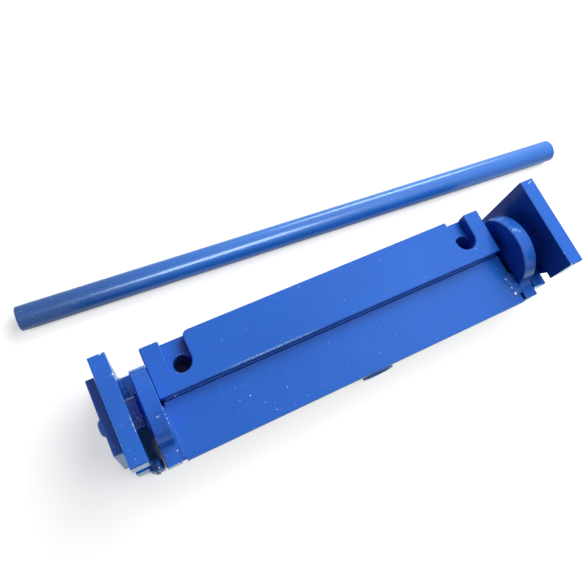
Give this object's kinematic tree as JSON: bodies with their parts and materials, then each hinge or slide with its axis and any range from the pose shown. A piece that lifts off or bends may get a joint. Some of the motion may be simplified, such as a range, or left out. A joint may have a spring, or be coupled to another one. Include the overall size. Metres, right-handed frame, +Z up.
{
  "type": "sheet metal bending machine",
  "caption": "Hand-operated bench bending brake: a flat bed bar, a slotted clamp plate, and a hinged apron between end plates, with a loose round handle bar.",
  "frame": {"origin": "middle of the two tapped holes, on the bed bar's top face", "axes": "+X along the bend line to the right, +Y to the back, away from the apron, +Z up"},
  "size_m": [0.508, 0.1658, 0.0855],
  "materials": {
    "blue_enamel": "glossy royal blue enamel over flat steel bar",
    "painted_weld": "the same enamel pooled over weld beads",
    "painted_screws": "the same enamel over screw heads"
  },
  "bodies": {
    "base": {"base_bar": "blue_enamel", "bed_bar": "blue_enamel", "end_plate_left": "blue_enamel", "end_plate_right": "blue_enamel", "keeper_post_left": "blue_enamel", "keeper_post_right": "blue_enamel", "bed_weld_beads": "painted_weld", "end_weld_beads": "painted_weld", "keeper_weld_beads": "painted_weld"},
    "apron": {"apron_plate": "blue_enamel", "cheek_left": "blue_enamel", "cheek_right": "blue_enamel", "pivot_pin_left": "blue_enamel", "pivot_pin_right": "blue_enamel", "retaining_plate_left": "blue_enamel", "retaining_plate_right": "blue_enamel", "retaining_screws": "painted_screws", "handle_socket": "blue_enamel", "socket_weld_beads": "painted_weld", "apron_end_welds": "painted_weld", "pin_weld_rings": "painted_weld"},
    "clamp": {"clamp_plate": "blue_enamel"},
    "handle": {"handle_bar": "blue_enamel"}
  },
  "joints": [
    {"name": "apron_hinge", "type": "hinge", "parent": "base", "child": "apron", "pos_m": [0, -0.02, 0], "axis": [-1, 0, 0], "range_deg": [0, 90]},
    {"name": "clamp_lift", "type": "slide", "parent": "base", "child": "clamp", "axis": [0, 0, 1], "range_m": [0, 0.06]},
    {"name": "handle_lift", "type": "slide", "parent": "base", "child": "handle", "axis": [0, 0, 1], "range_m": [0, 0.08]}
  ]
}
